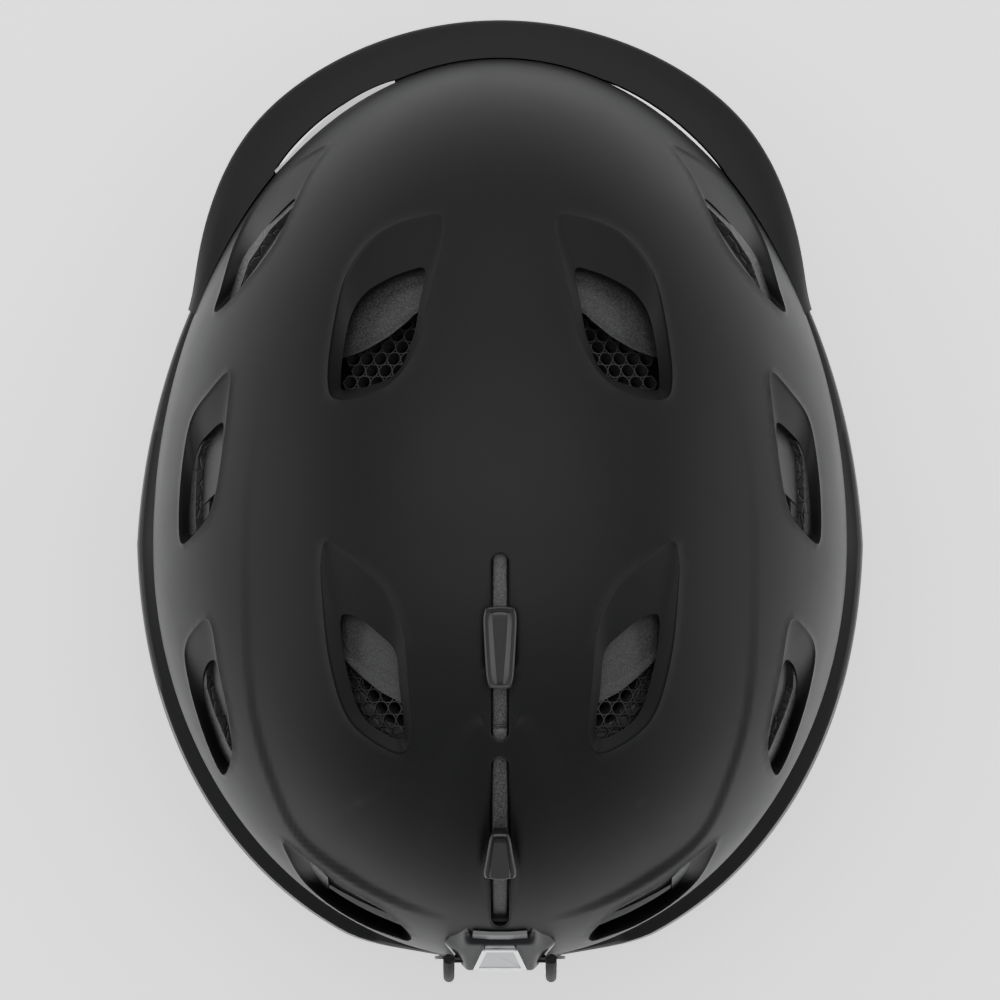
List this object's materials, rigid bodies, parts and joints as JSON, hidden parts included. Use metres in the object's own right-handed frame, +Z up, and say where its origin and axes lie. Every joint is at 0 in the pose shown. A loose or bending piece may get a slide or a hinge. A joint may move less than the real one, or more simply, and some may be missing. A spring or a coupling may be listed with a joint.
{
  "type": "ski helmet",
  "caption": "Hard-shell ski helmet with a brim, closable honeycomb vents, a rear goggle clip on elastic cords, a dial-fit band, ear pads and a buckled chin strap.",
  "frame": {"origin": "centre of the bounding box at the level the helmet stands on, which is the bottom of the ear pads", "axes": "+Y is the front, where the brim is; +X is the wearer's right seen from behind, the right-hand side of a view from above with the brim at the top; +Z is up"},
  "size_m": [0.2192, 0.2899, 0.2191],
  "materials": {
    "matte_shell": "fine matte black",
    "lower_shell": "satin charcoal",
    "accent": "plain pale inlay",
    "foam": "moulded bead foam",
    "honeycomb": "matte",
    "shutter": "grained",
    "slider": "satin",
    "padding": "brushed knit over foam",
    "fit_plastic": "satin",
    "dial": "soft touch",
    "rack": "satin",
    "ear_fabric": "knit outside, fleece inside",
    "trim": "satin",
    "webbing": "woven",
    "anchor": "brushed",
    "buckle": "satin",
    "pull_tab": "woven",
    "magnet": "plated",
    "clip": "satin",
    "clip_plate": "brushed, bright edge",
    "cord": "braided elastic"
  },
  "bodies": {
    "helmet": {"upper_shell": "matte_shell", "lower_shell": "lower_shell", "brim": "matte_shell", "accent_plate": "accent", "eps_liner": "foam", "honeycomb_front": "honeycomb", "honeycomb_temple": "honeycomb", "honeycomb_side": "honeycomb", "honeycomb_crown_rear": "honeycomb", "honeycomb_rear": "honeycomb", "crown_pad": "padding", "brow_pad": "padding", "side_pads": "padding", "rear_pads": "padding", "nape_pad": "padding", "halo_band": "fit_plastic", "dial_housing": "fit_plastic", "dial_cover": "fit_plastic", "cradle_hanger": "fit_plastic", "ear_pad_left": "ear_fabric", "ear_pad_right": "ear_fabric", "ear_pad_rail_left": "fit_plastic", "ear_pad_rail_right": "fit_plastic", "ear_grille_left": "trim", "ear_grille_right": "trim", "strap_yoke_left": "webbing", "strap_yoke_right": "webbing", "strap_divider_left": "trim", "strap_divider_right": "trim", "strap_anchors": "anchor", "chin_strap_left": "webbing", "chin_strap_right": "webbing", "chin_pad": "padding", "strap_keeper": "trim", "buckle_socket": "buckle", "buckle_magnets": "magnet", "goggle_clip_seat": "trim", "clip_pin": "magnet", "goggle_cord": "cord", "cord_grommets": "trim"},
    "front_vent_control": {"front_shutter": "shutter", "front_slider_knob": "slider"},
    "rear_vent_control": {"rear_shutter": "shutter", "rear_slider_knob": "slider"},
    "goggle_clip_body": {"goggle_clip": "clip", "goggle_clip_plate": "clip_plate"},
    "fit_dial_body": {"fit_dial": "dial", "dial_pinion": "rack"},
    "rack_left_body": {"rack_left": "rack"},
    "rack_right_body": {"rack_right": "rack"},
    "buckle_plug_body": {"buckle_plug": "buckle", "buckle_pull_tab": "pull_tab", "plug_webbing": "webbing"}
  },
  "joints": [
    {"name": "front_vent_slide", "type": "hinge", "parent": "helmet", "child": "front_vent_control", "pos_m": [0, -0.0096, 0.0265], "axis": [1, 0, 0], "range_deg": [-4.4, 4.4]},
    {"name": "rear_vent_slide", "type": "hinge", "parent": "helmet", "child": "rear_vent_control", "pos_m": [0, -0.0266, 0.1016], "axis": [1, 0, 0], "range_deg": [-6, 6]},
    {"name": "goggle_clip_hinge", "type": "hinge", "parent": "helmet", "child": "goggle_clip_body", "pos_m": [0, -0.1374, 0.1332], "axis": [1, 0, 0], "range_deg": [0, 70]},
    {"name": "fit_dial_turn", "type": "hinge", "parent": "helmet", "child": "fit_dial_body", "pos_m": [0, -0.1, 0.024], "axis": [0, 1, 0], "range_deg": [-150, 150]},
    {"name": "rack_left_slide", "type": "slide", "parent": "helmet", "child": "rack_left_body", "axis": [1, 0, 0], "range_m": [-0.0106, 0.0106]},
    {"name": "rack_right_slide", "type": "slide", "parent": "helmet", "child": "rack_right_body", "axis": [1, 0, 0], "range_m": [-0.0106, 0.0106]},
    {"name": "buckle_slide", "type": "slide", "parent": "helmet", "child": "buckle_plug_body", "axis": [0, 1, 0], "range_m": [0, 0.018]}
  ],
  "couplings": [
    {"joint": "rack_left_slide", "follows": "fit_dial_turn", "m_per_rad": 0.004},
    {"joint": "rack_right_slide", "follows": "fit_dial_turn", "m_per_rad": -0.004}
  ]
}
